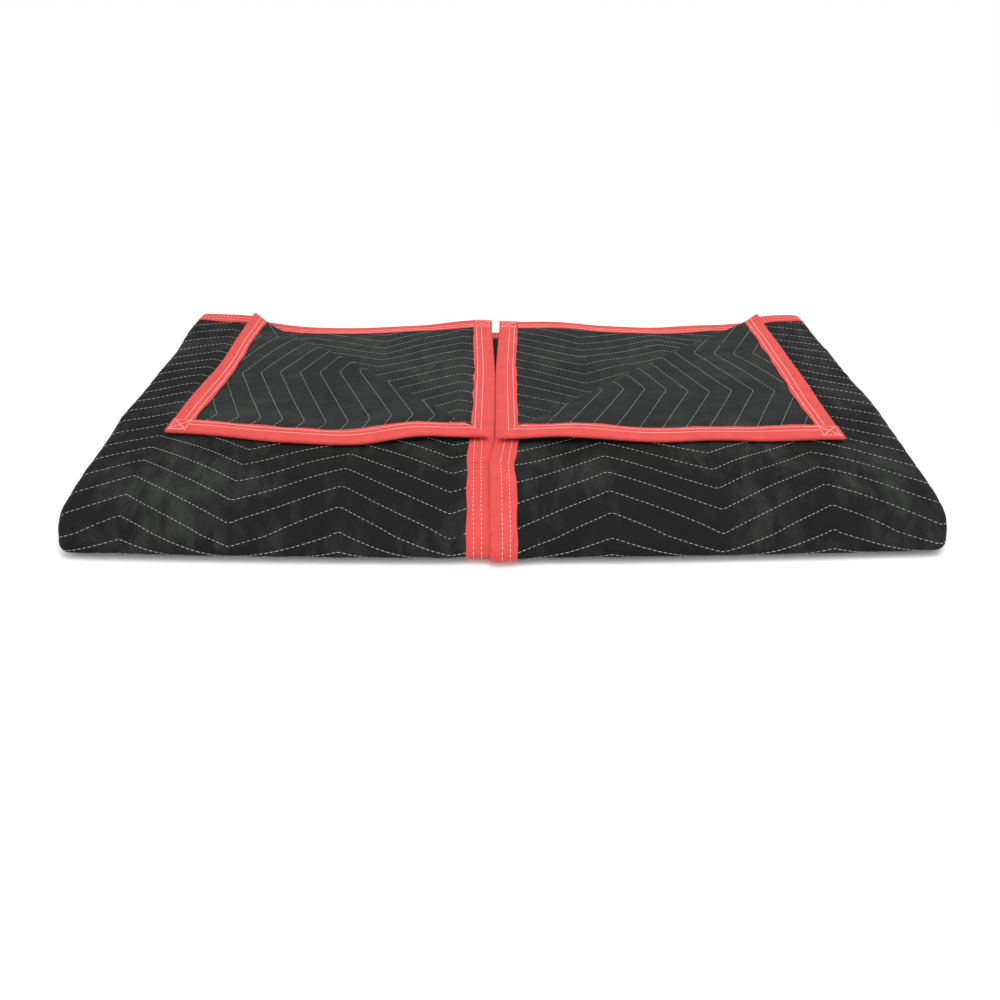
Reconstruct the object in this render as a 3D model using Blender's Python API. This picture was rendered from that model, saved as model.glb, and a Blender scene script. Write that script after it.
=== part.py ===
"""A quilted moving pad with bound edges, folded flat as it lies ready for use.

The finished pad is about 70 by 83 inches. It is folded in half, its two sides are folded in until their
bound edges meet in the middle, and it is folded in half again with that opening outside. The
top corners beside the opening are turned back. Units are metres, +Z is up, and -Y is the front.

Cut coordinates: u runs across the pad, v along it from one bound end to the other, and w is the
height over the middle of the cloth, positive on the face side.
"""
import math

import bmesh
import bpy
import numpy as np

# The cut
CUT_WIDTH = 1.778
CUT_LENGTH = 2.108
HALF_WIDTH = CUT_WIDTH / 2
LAYER = 0.0068           # height that each folded layer takes up
CREST = 0.0024           # half the cloth's thickness between two stitch lines
VALLEY = 0.0015          # half its thickness on a stitch line
PLAIN = 0.0021           # half its thickness where the quilting is left plain
EDGE = 0.0012            # half its thickness where the binding presses it

# The binding tape, sewn over every edge
BINDING_WIDTH = 0.0254
TAPE = 0.0009
CLEAR = 0.0003           # distance kept between two pieces
EDGE_RAMP = 0.0035       # width over which the cloth thins towards the binding

# The zigzag quilting
ZIG_REPEAT = 0.2169
ZIG_START = {-1: 0.0412, 1: 0.0048}  # from a side edge to the zigzag's first trough
ZIG_RISE = 0.0255        # from the middle of the zigzag to its peak
ZIG_SKEW = {-1: -0.06, 1: -0.02}  # how far the lines run off square on each side
QUILT_STEP = 0.0286      # from a stitch line to the crest beside it

# The folds
SIDE_RADIUS = 1.5 * LAYER
SIDE_ARC = math.pi * SIDE_RADIUS
FRONT_RADIUS = 3.5 * LAYER
NOSE = 0.95              # the front fold's reach for its height
FRONT_ARC = math.pi * FRONT_RADIUS * math.sqrt((1 + NOSE ** 2) / 2)
FRONT_START = CUT_LENGTH / 4 - FRONT_ARC / 2
FIRST_ARC = math.pi * LAYER / 2
FIRST_START = (CUT_LENGTH - FIRST_ARC) / 2
OPENING = 0.0065         # half the gap between the side edges at the back
CLOSED = 0.0024          # the same at the front
SEAM = 0.008             # distance by which the side edges meet left of the middle
CLOSES_BY = 0.20         # distance from the back at which the gap has closed
SIDE_FLAT = (HALF_WIDTH - SIDE_ARC + OPENING) / 2

# The turned corners: how far each fold line lies along the back edge and along the opening
CORNERS = {-1: {"along_back": 0.344, "along_opening": 0.368},
           1: {"along_back": 0.376, "along_opening": 0.372}}
TURN_RADIUS = 0.0040
TURN_STEPS = 5

# How the pile has settled: the front is pressed down, and the back edge of each half sags
FRONT_PRESS = 0.57
PRESS_FROM = 0.145       # distance from the front at which the top starts to fall
PRESS_POWER = 2.1
BACK_SAG = 0.14
BACK_SAG_REACH = 0.16
BACK_DRAW = 0.012        # distance by which the sagging back edge is drawn forward
FRONT_NARROW = 0.012     # the pile is this much narrower on each side at its front corners
FRONT_BOW = 0.011        # distance by which the middle of the front stands ahead of its ends
CORNER_LIFT = 0.12       # share by which the pile is higher at its back left corner
TURN_WAVE = 0.010        # lift of a turned corner's loose edge close to its fold
WAVE_AT = 0.060
WAVE_REACH = 0.055

DEPTH = FRONT_START + NOSE * (FRONT_RADIUS + CREST)
BACK_Y = (DEPTH - CLEAR - TAPE) / 2
BOTTOM = LAYER / 2 - CREST


def smooth(t):
    """Rise from 0 to 1 with level ends."""
    t = np.clip(t, 0.0, 1.0)
    return t * t * (3 - 2 * t)


def side_flat(side):
    """Distance from the cloth's middle line to the start of a side's fold."""
    return SIDE_FLAT - side * SEAM


def fold_in_half(u, v, w):
    """First fold, across the pad: the face is outside, and the lower layer comes first."""
    angle = np.clip((v - FIRST_START) / (LAYER / 2), 0.0, math.pi)
    radius = LAYER / 2 + w
    past = np.maximum(v - FIRST_START - FIRST_ARC, 0.0)
    y = np.minimum(v, FIRST_START) + radius * np.sin(angle) - past
    return u, y, LAYER - radius * np.cos(angle)


def fold_sides_in(x, y, z, v):
    """Second fold: both sides are laid over the middle, and their edges meet there."""
    side = np.sign(x)
    reach = np.abs(x)
    flat = side_flat(side)
    angle = np.clip((reach - flat) / SIDE_RADIUS, 0.0, math.pi)
    radius = 2 * LAYER - z
    past = np.maximum(reach - flat - SIDE_ARC, 0.0)
    from_end = np.minimum(v, CUT_LENGTH - v)
    flap = HALF_WIDTH - flat - SIDE_ARC
    close = (OPENING - CLOSED) * smooth(from_end / CLOSES_BY) * past / flap
    x = np.minimum(reach, flat) + radius * np.sin(angle) - past - close
    return side * x + SEAM, y, 2 * LAYER - radius * np.cos(angle)


def fold_front(x, y, z):
    """Third fold: in half again with the opening outside. Gives the distance from the back."""
    angle = np.clip((y - FRONT_START) * math.pi / FRONT_ARC, 0.0, math.pi)
    past = np.maximum(y - FRONT_START - FRONT_ARC, 0.0)
    ahead = np.minimum(y, FRONT_START) + NOSE * z * np.sin(angle) - past
    return x, ahead, 4 * LAYER + z * np.cos(angle)


def beyond_turn(u, v, side):
    """Distance past the start of a turned corner's bend, and the fold line's direction."""
    row = CORNERS[side]
    across = np.array([1 / row["along_back"], 1 / row["along_opening"]])
    scale = np.linalg.norm(across)
    inward = HALF_WIDTH - side * u
    distance = (1 - inward * across[0] - v * across[1]) / scale
    return distance + math.pi * TURN_RADIUS / 2, across / scale


def turn_corner(x, ahead, z, u, v, side):
    """The corner of the top layer is turned up and back over itself, in flat strips."""
    distance, across = beyond_turn(u, v, side)
    on_top = (v < 0.5) & (side * u > 0.4)
    distance = np.where(on_top, np.maximum(distance, 0.0), 0.0)
    bend = np.clip(distance / TURN_RADIUS, 0.0, math.pi) * TURN_STEPS / math.pi
    start = np.minimum(np.floor(bend), TURN_STEPS - 1)
    low, high = start * math.pi / TURN_STEPS, (start + 1) * math.pi / TURN_STEPS
    sine = np.sin(low) + (bend - start) * (np.sin(high) - np.sin(low))
    cosine = np.cos(low) + (bend - start) * (np.cos(high) - np.cos(low))
    middle = 7.5 * LAYER
    radius = TURN_RADIUS - (z - middle)
    past = np.maximum(distance - math.pi * TURN_RADIUS, 0.0)
    shift = np.where(distance > 0, radius * sine - past - distance, 0.0)
    raised = middle + TURN_RADIUS - radius * cosine
    from_fold = CORNERS[side]["along_opening"] - v
    wave = TURN_WAVE * np.exp(-((from_fold - WAVE_AT) / WAVE_REACH) ** 2) * smooth(past / 0.05)
    z = np.where(distance > 0, raised + wave, z)
    return x - side * across[0] * shift, ahead - across[1] * shift, z


def settle(x, ahead, z):
    """The pile's own weight: a low front, a sagging back edge and rounded front corners."""
    z = z - BOTTOM
    t = np.clip((DEPTH - ahead - 0.015) / (PRESS_FROM - 0.015), 0.0, 1.0)
    z = z * (1 - FRONT_PRESS * (1 - t) ** PRESS_POWER)
    half = np.clip(np.abs(x) / 0.45, 0.0, 1.0)
    near_back = 1 - smooth(ahead / BACK_SAG_REACH)
    sag = np.sin(math.pi * half) ** 2 * near_back
    corner = smooth((-x - 0.25) / 0.2) * near_back
    high = smooth(z / (8 * LAYER))
    z = z * (1 - BACK_SAG * sag + CORNER_LIFT * corner)
    front = smooth((ahead - DEPTH + 0.06) / 0.06)
    bow = FRONT_BOW * (half * half) * smooth(ahead / DEPTH)
    ahead = ahead + BACK_DRAW * sag * high - bow
    x = x * (1 - FRONT_NARROW / 0.45 * front * front)
    return x, BACK_Y - ahead, z


def place(points):
    """Carry points from cut coordinates to their place in the folded pad."""
    u, v, w = points.T
    x, y, z = fold_in_half(u, v, w)
    x, y, z = fold_sides_in(x, y, z, v)
    x, ahead, z = fold_front(x, y, z)
    for side in CORNERS:
        x, ahead, z = turn_corner(x, ahead, z, u, v, side)
    return np.stack(settle(x, ahead, z), axis=1)


def spread(start, end, step):
    """Even stations between two values, no further apart than a step."""
    count = max(1, math.ceil(abs(end - start) / step - 1e-6))
    return [start + (end - start) * k / count for k in range(count)]


def half_stations(side):
    """Places from one side edge of the pad to its middle line, as distances from that line."""
    inner = HALF_WIDTH - BINDING_WIDTH
    flat = side_flat(side)
    half = [HALF_WIDTH, inner - CLEAR, inner - EDGE_RAMP]
    for quarter in range(9):
        place_in = HALF_WIDTH - ZIG_START[side] - quarter * ZIG_REPEAT / 4
        if flat + SIDE_ARC + 0.006 < place_in < inner - EDGE_RAMP - 0.006:
            half.append(place_in)
    half += spread(flat + SIDE_ARC, flat, SIDE_ARC / 5)
    return half + spread(flat, 0.0, 0.30)


def cross_stations():
    """Places across the pad, from its left edge to its right one."""
    left, right = half_stations(-1), half_stations(1)
    return [-value for value in left] + [0.0] + right[::-1]


def long_stations():
    """Places along the pad, from its first bound end to its second one."""
    inner = BINDING_WIDTH
    first = [0.0, inner + CLEAR, inner + EDGE_RAMP]
    first += spread(inner + EDGE_RAMP, FRONT_START, QUILT_STEP)[1:]
    first += spread(FRONT_START, FRONT_START + FRONT_ARC, FRONT_ARC / 8)
    first += spread(FRONT_START + FRONT_ARC, FIRST_START, 0.11)
    bend = spread(FIRST_START, FIRST_START + FIRST_ARC, FIRST_ARC / 6)
    second = [CUT_LENGTH - value for value in first[::-1]]
    return first + bend + [FIRST_START + FIRST_ARC] + second


def zigzag(u):
    """How far the stitch lines run down the pad at a place across it."""
    side = -1 if u < 0 else 1
    from_edge = HALF_WIDTH - abs(u)
    turn = (from_edge - ZIG_START[side]) / ZIG_REPEAT
    return ZIG_RISE * (1 - 4 * abs(turn - round(turn))) + ZIG_SKEW[side] * (from_edge - 0.2)


def zigzag_share(u, v):
    """How much of the zigzag a line of stitches has at a place: none at a tight fold."""
    from_end = min(v, CUT_LENGTH - v)
    ends = float(smooth((from_end - BINDING_WIDTH) / 0.09))
    middle = 1 - float(smooth((from_end - 0.43) / 0.07))
    if v > CUT_LENGTH / 2:
        middle = 1 - float(smooth((from_end - 0.36) / 0.08))
    flap = float(smooth((abs(u) - SIDE_FLAT - SEAM - SIDE_ARC) / 0.05))
    edge = float(smooth((HALF_WIDTH - abs(u) - BINDING_WIDTH - EDGE_RAMP) / 0.05))
    return ends * middle * flap * edge


def rising(one, other):
    """Whether the zigzag climbs between two places across the pad."""
    return zigzag(other) > zigzag(one) + 1e-4


def two_triangles(mesh, corners, climbs):
    """Split a cell of the cloth along the diagonal that lies closer to its lines."""
    a, b, c, d = corners
    if climbs:
        mesh.faces.new([a, b, d])
        mesh.faces.new([b, c, d])
    else:
        mesh.faces.new([a, b, c])
        mesh.faces.new([a, c, d])


def half_thickness(u, v, row, face):
    """Half the cloth's thickness: thin under the binding, quilted on the two side flaps."""
    inner = BINDING_WIDTH + 2 * CLEAR
    if HALF_WIDTH - abs(u) < inner or min(v, CUT_LENGTH - v) < inner:
        return EDGE
    lower = CUT_LENGTH / 4 + FRONT_ARC / 2 - 0.01 < v < CUT_LENGTH / 2
    if lower and face > 0:
        return CREST
    quilted = v < FRONT_START + FRONT_ARC or v > CUT_LENGTH - FRONT_START
    if not quilted:
        return PLAIN
    return VALLEY if row % 2 else CREST


def closed_grid(points, across, rows):
    """Two faces of a cloth, a grid of points each, closed around their rim."""
    mesh = bmesh.new()
    columns = len(across)
    verts = [mesh.verts.new(point) for point in points]
    size = columns * rows

    def at(face, i, j):
        return verts[face * size + j * columns + i]

    for j in range(rows - 1):
        for i in range(columns - 1):
            for face in (0, 1):
                corners = [at(face, i, j), at(face, i + 1, j),
                           at(face, i + 1, j + 1), at(face, i, j + 1)]
                two_triangles(mesh, corners, rising(across[i], across[i + 1]))
    for i in range(columns - 1):
        mesh.faces.new([at(0, i + 1, 0), at(0, i, 0), at(1, i, 0), at(1, i + 1, 0)])
        mesh.faces.new([at(0, i, rows - 1), at(0, i + 1, rows - 1),
                        at(1, i + 1, rows - 1), at(1, i, rows - 1)])
    for j in range(rows - 1):
        mesh.faces.new([at(0, 0, j), at(0, 0, j + 1), at(1, 0, j + 1), at(1, 0, j)])
        mesh.faces.new([at(0, columns - 1, j + 1), at(0, columns - 1, j),
                        at(1, columns - 1, j), at(1, columns - 1, j + 1)])
    return mesh


def cut_for_turns(mesh):
    """Give the cloth edges along each line where a turned corner starts, bends and ends."""
    for side, row in CORNERS.items():
        normal = (-side / row["along_back"], 1 / row["along_opening"], 0.0)
        length = math.hypot(normal[0], normal[1])
        for step in range(TURN_STEPS + 1):
            past = math.pi * TURN_RADIUS * (step / TURN_STEPS - 0.5)
            back = (1 - past * length) * row["along_back"]
            parts = mesh.verts[:] + mesh.edges[:] + mesh.faces[:]
            bmesh.ops.bisect_plane(mesh, geom=parts, dist=1e-6,
                                   plane_co=(side * (HALF_WIDTH - back), 0.0, 0.0),
                                   plane_no=normal)


def split_rims(mesh):
    """Split every face that joins the two sides of a cloth along the same diagonal."""
    for face in list(mesh.faces):
        ordered = sorted(face.verts, key=lambda vert: vert.co.x + vert.co.y)
        high = [vert for vert in ordered if vert.co.z > 0]
        low = [vert for vert in ordered if vert.co.z < 0]
        if len(high) == 2 and len(low) == 2:
            bmesh.utils.face_split(face, high[0], low[1])


def finish_cloth(name, mesh, material):
    """Cut, triangulate and fold a cloth made in cut coordinates, and add it to the scene."""
    cut_for_turns(mesh)
    split_rims(mesh)
    bmesh.ops.triangulate(mesh, faces=mesh.faces[:], quad_method="SHORT_EDGE",
                          ngon_method="BEAUTY")
    bmesh.ops.recalc_face_normals(mesh, faces=mesh.faces[:])
    cut = np.array([vert.co[:] for vert in mesh.verts])
    for vert, point in zip(mesh.verts, place(cut)):
        vert.co = point
    data = bpy.data.meshes.new(name)
    mesh.to_mesh(data)
    mesh.free()
    data.materials.append(material)
    piece = bpy.data.objects.new(name, data)
    bpy.context.scene.collection.objects.link(piece)
    return piece


def cloth_material(name, color, roughness):
    """A plain matt cloth."""
    material = bpy.data.materials.new(name)
    material.use_nodes = True
    shader = material.node_tree.nodes["Principled BSDF"]
    shader.inputs["Base Color"].default_value = (*color, 1.0)
    shader.inputs["Roughness"].default_value = roughness
    shader.inputs["Metallic"].default_value = 0.0
    return material


def quilted_body():
    """The quilted cloth, one piece from edge to edge, with its zigzag lines raised."""
    across, along = cross_stations(), long_stations()
    points = []
    for face in (1, -1):
        for row, v in enumerate(along):
            for u in across:
                rise = zigzag(u) * zigzag_share(u, v)
                points.append((u, v + rise, face * half_thickness(u, v, row, face)))
    mesh = closed_grid(points, across, len(along))
    black = cloth_material("black_pad_cloth", (0.012, 0.013, 0.013), 0.85)
    return finish_cloth("quilted_pad", mesh, black)


def binding(name, along_side, sign):
    """A tape folded over one edge of the pad: a channel from one end of the edge to the other."""
    outer, inner = EDGE + CLEAR + TAPE, EDGE + CLEAR
    section = [(BINDING_WIDTH, outer), (-CLEAR - TAPE, outer), (-CLEAR - TAPE, -outer),
               (BINDING_WIDTH, -outer), (BINDING_WIDTH, -inner), (-CLEAR, -inner),
               (-CLEAR, inner), (BINDING_WIDTH, inner)]
    if along_side:
        stations = long_stations()
    else:
        end = HALF_WIDTH - BINDING_WIDTH - CLEAR
        stations = [-end] + [u for u in cross_stations() if abs(u) < end - 0.001] + [end]
    mesh = bmesh.new()
    rings = []
    for station in stations:
        ring = []
        for inward, height in section:
            if along_side:
                point = (sign * (HALF_WIDTH - inward), station, height)
            else:
                point = (station, inward if sign < 0 else CUT_LENGTH - inward, height)
            ring.append(mesh.verts.new(point))
        rings.append(ring)
    count = len(section)
    for one, other in zip(rings, rings[1:]):
        for k in range(count):
            corners = sorted([one[k], one[(k + 1) % count], other[(k + 1) % count], other[k]],
                             key=lambda vert: (round(vert.co.y, 6), vert.co.x))
            a, b, d, c = corners
            if abs(a.co.x - b.co.x) < 1e-6:
                mesh.faces.new([one[k], one[(k + 1) % count], other[(k + 1) % count], other[k]])
            else:
                two_triangles(mesh, (a, b, c, d), rising(a.co.x, b.co.x))
    for ring in (rings[0], rings[-1]):
        mesh.faces.new([ring[0], ring[1], ring[6], ring[7]])
        mesh.faces.new([ring[1], ring[2], ring[5], ring[6]])
        mesh.faces.new([ring[2], ring[3], ring[4], ring[5]])
    return finish_cloth(name, mesh, cloth_material("coral_binding_" + name, (0.62, 0.07, 0.06), 0.8))


for old in list(bpy.data.objects):
    bpy.data.objects.remove(old, do_unlink=True)
quilted_body()
binding("binding_left_side", True, -1)
binding("binding_right_side", True, 1)
binding("binding_first_end", False, -1)
binding("binding_second_end", False, 1)
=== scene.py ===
"""A quilted moving pad, folded flat: its cloth, its binding tapes and all its stitching.

Units are metres, +Z is up, and -Y is the front. The cloth and what is sewn to it are made in cut
coordinates and then carried through the folds. There u runs across the pad, v along it from one
bound end to the other, and w is the height over the middle of the cloth, positive on the face side.
"""
import math

import bmesh
import bpy
import numpy as np
from mathutils import Matrix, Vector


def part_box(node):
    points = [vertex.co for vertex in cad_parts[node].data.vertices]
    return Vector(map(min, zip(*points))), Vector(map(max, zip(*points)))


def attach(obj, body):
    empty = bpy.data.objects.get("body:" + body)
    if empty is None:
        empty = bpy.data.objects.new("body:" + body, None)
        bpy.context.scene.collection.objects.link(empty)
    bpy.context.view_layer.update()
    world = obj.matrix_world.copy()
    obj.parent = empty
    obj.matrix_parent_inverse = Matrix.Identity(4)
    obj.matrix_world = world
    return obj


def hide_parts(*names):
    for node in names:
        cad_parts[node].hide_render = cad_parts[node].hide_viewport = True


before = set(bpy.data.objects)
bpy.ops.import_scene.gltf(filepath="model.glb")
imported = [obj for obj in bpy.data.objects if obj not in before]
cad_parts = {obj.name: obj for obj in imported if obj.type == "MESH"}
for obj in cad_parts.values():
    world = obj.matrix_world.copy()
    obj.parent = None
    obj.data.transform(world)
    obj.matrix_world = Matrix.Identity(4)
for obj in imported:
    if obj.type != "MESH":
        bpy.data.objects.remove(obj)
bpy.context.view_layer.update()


# The folds. A full-size pad of about 70 by 83 inches is folded in half with its face outside, its
# two sides are laid over the middle until their edges meet, and it is folded in half again with
# that opening outside. The two top corners beside the opening are turned back over the top.
CUT_WIDTH = 1.778
CUT_LENGTH = 2.108
HALF_WIDTH = CUT_WIDTH / 2
LAYER = 0.0068           # height that each folded layer takes up
CREST = 0.0024           # half the cloth's thickness between two stitch lines
SIDE_RADIUS = 1.5 * LAYER
SIDE_ARC = math.pi * SIDE_RADIUS
FRONT_RADIUS = 3.5 * LAYER
NOSE = 0.95              # the front fold's reach for its height
FRONT_ARC = math.pi * FRONT_RADIUS * math.sqrt((1 + NOSE ** 2) / 2)
FRONT_START = CUT_LENGTH / 4 - FRONT_ARC / 2
FIRST_ARC = math.pi * LAYER / 2
FIRST_START = (CUT_LENGTH - FIRST_ARC) / 2
DEPTH = FRONT_START + NOSE * (FRONT_RADIUS + CREST)
BACK_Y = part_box("quilted_pad")[1].y
BOTTOM = LAYER / 2 - CREST

# The opening in the middle, where the two side edges meet.
OPENING = 0.0065         # half the gap between the side edges at the back
CLOSED = 0.0013          # the same at the front, where the tapes touch
CLOSES_BY = 0.20         # distance from the back at which the gap has closed
SEAM = 0.008             # distance by which the side edges meet left of the middle
SIDE_FLAT = (HALF_WIDTH - SIDE_ARC + OPENING) / 2
DRIFT_AT = (0.25, 0.38, 0.52, 0.62)  # the seam wanders sideways between these places
SEAM_DRIFT = (0.0, -0.0035, -0.0005, 0.0)
DRIFT_FROM = 0.4         # share of a side's flap that stays put while its edge wanders
SEAM_WAVE = 0.0006
SEAM_WAVE_SIZE = 0.08
OVERLAP_AT = (0.375, 0.415, 0.60, 0.66)  # the right tape lies over the left one between these
OVERLAP = 0.0040
OVERLAP_LIFT = 0.0053

# The two corners of the top layer that are turned back, left (-1) and right (1).
CORNERS = {-1: {"along_back": 0.344, "along_opening": 0.368},
           1: {"along_back": 0.376, "along_opening": 0.372}}
TOP_ALONG = 0.5          # the top layer lies before this place along the cloth
TOP_ACROSS = 0.4         # and beyond this one from its middle line
TURN_MIDDLE = 7.5 * LAYER  # height of the top layer's middle
TURN_RADIUS = 0.0040
TURN_SINK = 0.0020       # how much closer a turned corner lies away from its fold
TURN_SLIDE = {-1: 0.014, 1: 0.0}  # how far it has slid along its fold
TURN_BOW = {-1: 0.016, 1: 0.003}  # how far its loose side edge bows towards the front
EDGE_LIFT = {-1: 0.0020, 1: 0.0045}  # how far that edge is lifted close to the fold
LIFT_AT = 0.060          # distance from the fold at which it is lifted most
LIFT_REACH = 0.055
SETS_IN = {"lift": 0.05, "sink": 0.12, "slide": 0.16, "bow": 0.10}  # distance past the fold
BEND_STEPS = 8           # flat strips in a turned corner's bend
BEND_NEAR = 0.035        # only faces this close to a bend are cut for it

# The pile's own weight and unevenness.
HALF_FOLDED = 0.45       # a little over half the folded pad's width
INNER_DRAW = 0.026       # how far the inner layers lie back from the bound ends, in the middle
BACK_REACH = 0.16        # how far from the back the changes of the back edge reach
BACK_SAG = 0.145         # share by which the back edge sags halfway to each side
BACK_DRAW = 0.012        # how far the sagging back edge is drawn to the front
BACK_SPREAD = 0.0025     # how much further the sides reach at the back
CORNER_LIFT = 0.13       # share by which the left back corner stands higher
WAIST_AT = 0.395         # place from the back where the sides are drawn in
WAIST_REACH = 0.080
WAIST_IN = 0.0050
WAIST_DOWN = 0.10        # share by which they lie lower there
FRONT_PRESS = 0.57       # share of its height that the front loses
PRESS_FROM = 0.145       # distance from the front at which the loss sets in
PRESS_WHOLE = 0.015      # distance from the front at which it is reached
PRESS_POWER = 2.1
FRONT_NARROW = 0.012
FRONT_TIP = 0.06         # depth of the front part that is narrower
FRONT_BOW = 0.011        # how far the front's ends lie behind its middle
UNEVEN = 0.0011          # how far the pile's top waves up and down
UNEVEN_SIZE = 0.15
LOWEST = 0.0008          # what would reach lower than about this is pressed up to it
PRESSED = 0.12           # share of its height that is left to what is pressed up

# The widths of some smooth steps: where each starts to rise from 0, and the width over which it
# reaches 1. Where the width is negative, the step rises towards smaller distances.
OVERLAP_SLIDES = (0.12, -0.10)   # distance from the side edge
OVERLAP_RISES = (0.050, -0.040)  # distance from the side edge
EDGE_BOWS = (0.30, -0.25)        # distance from the side edge
INNER_MIDDLE = (0.30, -0.20)     # distance from the cloth's middle line
LEFT_CORNER = (0.25, 0.20)       # distance to the left of the pad's middle
WAIST_SIDES = (0.34, 0.10)       # distance from the pad's middle


def smooth(t):
    """Rise from 0 to 1 with level ends."""
    t = np.clip(t, 0.0, 1.0)
    return t * t * (3 - 2 * t)


def step_at(distance, start, width):
    """A smooth step from 0 to 1 that begins at a distance and takes up a width."""
    return smooth((distance - start) / width)


def ripple(a, b, size, seed):
    """Uneven waves of about one size, mostly between -1 and 1."""
    draw = np.random.default_rng(seed)
    total = 0.0
    for _ in range(7):
        turn, phase = draw.uniform(0, 2 * math.pi, 2)
        wave = 2 * math.pi * draw.uniform(0.7, 1.5) / size
        total = total + np.sin((a * math.cos(turn) + b * math.sin(turn)) * wave + phase)
    return total / 3


def side_flat(side):
    """Distance from the cloth's middle line to the start of a side's fold."""
    return SIDE_FLAT - side * SEAM


def fold_in_half(u, v, w):
    """First fold, across the pad: the lower layer comes first."""
    angle = np.clip((v - FIRST_START) / (LAYER / 2), 0.0, math.pi)
    radius = LAYER / 2 + w
    past = np.maximum(v - FIRST_START - FIRST_ARC, 0.0)
    y = np.minimum(v, FIRST_START) + radius * np.sin(angle) - past
    return u, y, LAYER - radius * np.cos(angle)


def fold_sides_in(x, y, z, v):
    """Second fold: both sides are laid over the middle, and their edges meet there."""
    side = np.sign(x)
    reach = np.abs(x)
    flat = side_flat(side)
    angle = np.clip((reach - flat) / SIDE_RADIUS, 0.0, math.pi)
    radius = 2 * LAYER - z
    past = np.maximum(reach - flat - SIDE_ARC, 0.0)
    from_end = np.minimum(v, CUT_LENGTH - v)
    flap = HALF_WIDTH - flat - SIDE_ARC
    close = (OPENING - CLOSED) * smooth(from_end / CLOSES_BY) * past / flap
    x = np.minimum(reach, flat) + radius * np.sin(angle) - past - close
    drift = np.interp(v, DRIFT_AT, SEAM_DRIFT) + SEAM_WAVE * ripple(v, 0.0, SEAM_WAVE_SIZE, 7)
    drift = np.where(v < CUT_LENGTH / 2, drift, 0.0) * smooth(past / flap - DRIFT_FROM)
    over = np.where(side > 0, np.interp(v, OVERLAP_AT, (0.0, 1.0, 1.0, 0.0)), 0.0)
    from_edge = HALF_WIDTH - reach
    drift = drift - OVERLAP * over * step_at(from_edge, *OVERLAP_SLIDES)
    lift = OVERLAP_LIFT * over * step_at(from_edge, *OVERLAP_RISES)
    return side * x + SEAM + drift, y, 2 * LAYER - radius * np.cos(angle) + lift


def fold_front(x, y, z):
    """Third fold: in half again with the opening outside. Gives the distance from the back."""
    angle = np.clip((y - FRONT_START) * math.pi / FRONT_ARC, 0.0, math.pi)
    past = np.maximum(y - FRONT_START - FRONT_ARC, 0.0)
    ahead = np.minimum(y, FRONT_START) + NOSE * z * np.sin(angle) - past
    return x, ahead, 4 * LAYER + z * np.cos(angle)


def beyond_turn(u, v, side):
    """Distance past the start of a turned corner's bend, and the fold line's direction."""
    row = CORNERS[side]
    across = np.array([1 / row["along_back"], 1 / row["along_opening"]])
    scale = np.linalg.norm(across)
    inward = HALF_WIDTH - side * u
    distance = (1 - inward * across[0] - v * across[1]) / scale
    return distance + math.pi * TURN_RADIUS / 2, across / scale


def turn_corner(x, ahead, z, u, v, side):
    """The corner of the top layer is turned up and back over itself."""
    distance, across = beyond_turn(u, v, side)
    on_top = (v < TOP_ALONG) & (side * u > TOP_ACROSS)
    distance = np.where(on_top, np.maximum(distance, 0.0), 0.0)
    bend = np.clip(distance / TURN_RADIUS, 0.0, math.pi)
    radius = TURN_RADIUS - (z - TURN_MIDDLE)
    past = np.maximum(distance - math.pi * TURN_RADIUS, 0.0)
    shift = np.where(distance > 0, radius * np.sin(bend) - past - distance, 0.0)
    far = {change: smooth(past / width) for change, width in SETS_IN.items()}
    from_fold = CORNERS[side]["along_opening"] - v
    near = np.exp(-((from_fold - LIFT_AT) / LIFT_REACH) ** 2) * far["lift"]
    lift = EDGE_LIFT[side] * near - TURN_SINK * far["sink"] * (1 - near)
    raised = TURN_MIDDLE + TURN_RADIUS - radius * np.cos(bend) + lift
    z = np.where(distance > 0, raised, z)
    slide = TURN_SLIDE[side] * far["slide"]
    x = x - side * (across[0] * shift + across[1] * slide)
    ahead = ahead - across[1] * shift + across[0] * slide
    along_edge = np.clip(from_fold / CORNERS[side]["along_opening"], 0.0, 1.0)
    loose = far["bow"] * step_at(HALF_WIDTH - side * u, *EDGE_BOWS)
    return x, ahead + TURN_BOW[side] * np.sin(math.pi * along_edge) * loose, z


def settle(x, ahead, z):
    """The pile's own weight: a low front, a sagging back edge and rounded front corners."""
    z = z - BOTTOM
    behind = np.clip((DEPTH - ahead - PRESS_WHOLE) / (PRESS_FROM - PRESS_WHOLE), 0.0, 1.0)
    z = z * (1 - FRONT_PRESS * (1 - behind) ** PRESS_POWER)
    half = np.clip(np.abs(x) / HALF_FOLDED, 0.0, 1.0)
    near_back = 1 - smooth(ahead / BACK_REACH)
    sag = np.sin(math.pi * half) ** 2 * near_back
    high = smooth(z / (8 * LAYER))
    z = z * (1 - BACK_SAG * sag + CORNER_LIFT * step_at(-x, *LEFT_CORNER) * near_back)
    z = z + UNEVEN * high * ripple(x, ahead, UNEVEN_SIZE, 4)
    waist = np.exp(-((ahead - WAIST_AT) / WAIST_REACH) ** 2) * step_at(np.abs(x), *WAIST_SIDES)
    z = z * (1 - WAIST_DOWN * waist)
    x = x * (1 - WAIST_IN / HALF_FOLDED * waist + BACK_SPREAD / HALF_FOLDED * near_back)
    front = step_at(ahead, DEPTH - FRONT_TIP, FRONT_TIP)
    x = x * (1 - FRONT_NARROW / HALF_FOLDED * front * front)
    bow = FRONT_BOW * half * half * smooth(ahead / DEPTH)
    ahead = ahead + BACK_DRAW * sag * high - bow
    return x, BACK_Y - ahead, np.maximum(z, LOWEST + PRESSED * z)


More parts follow.
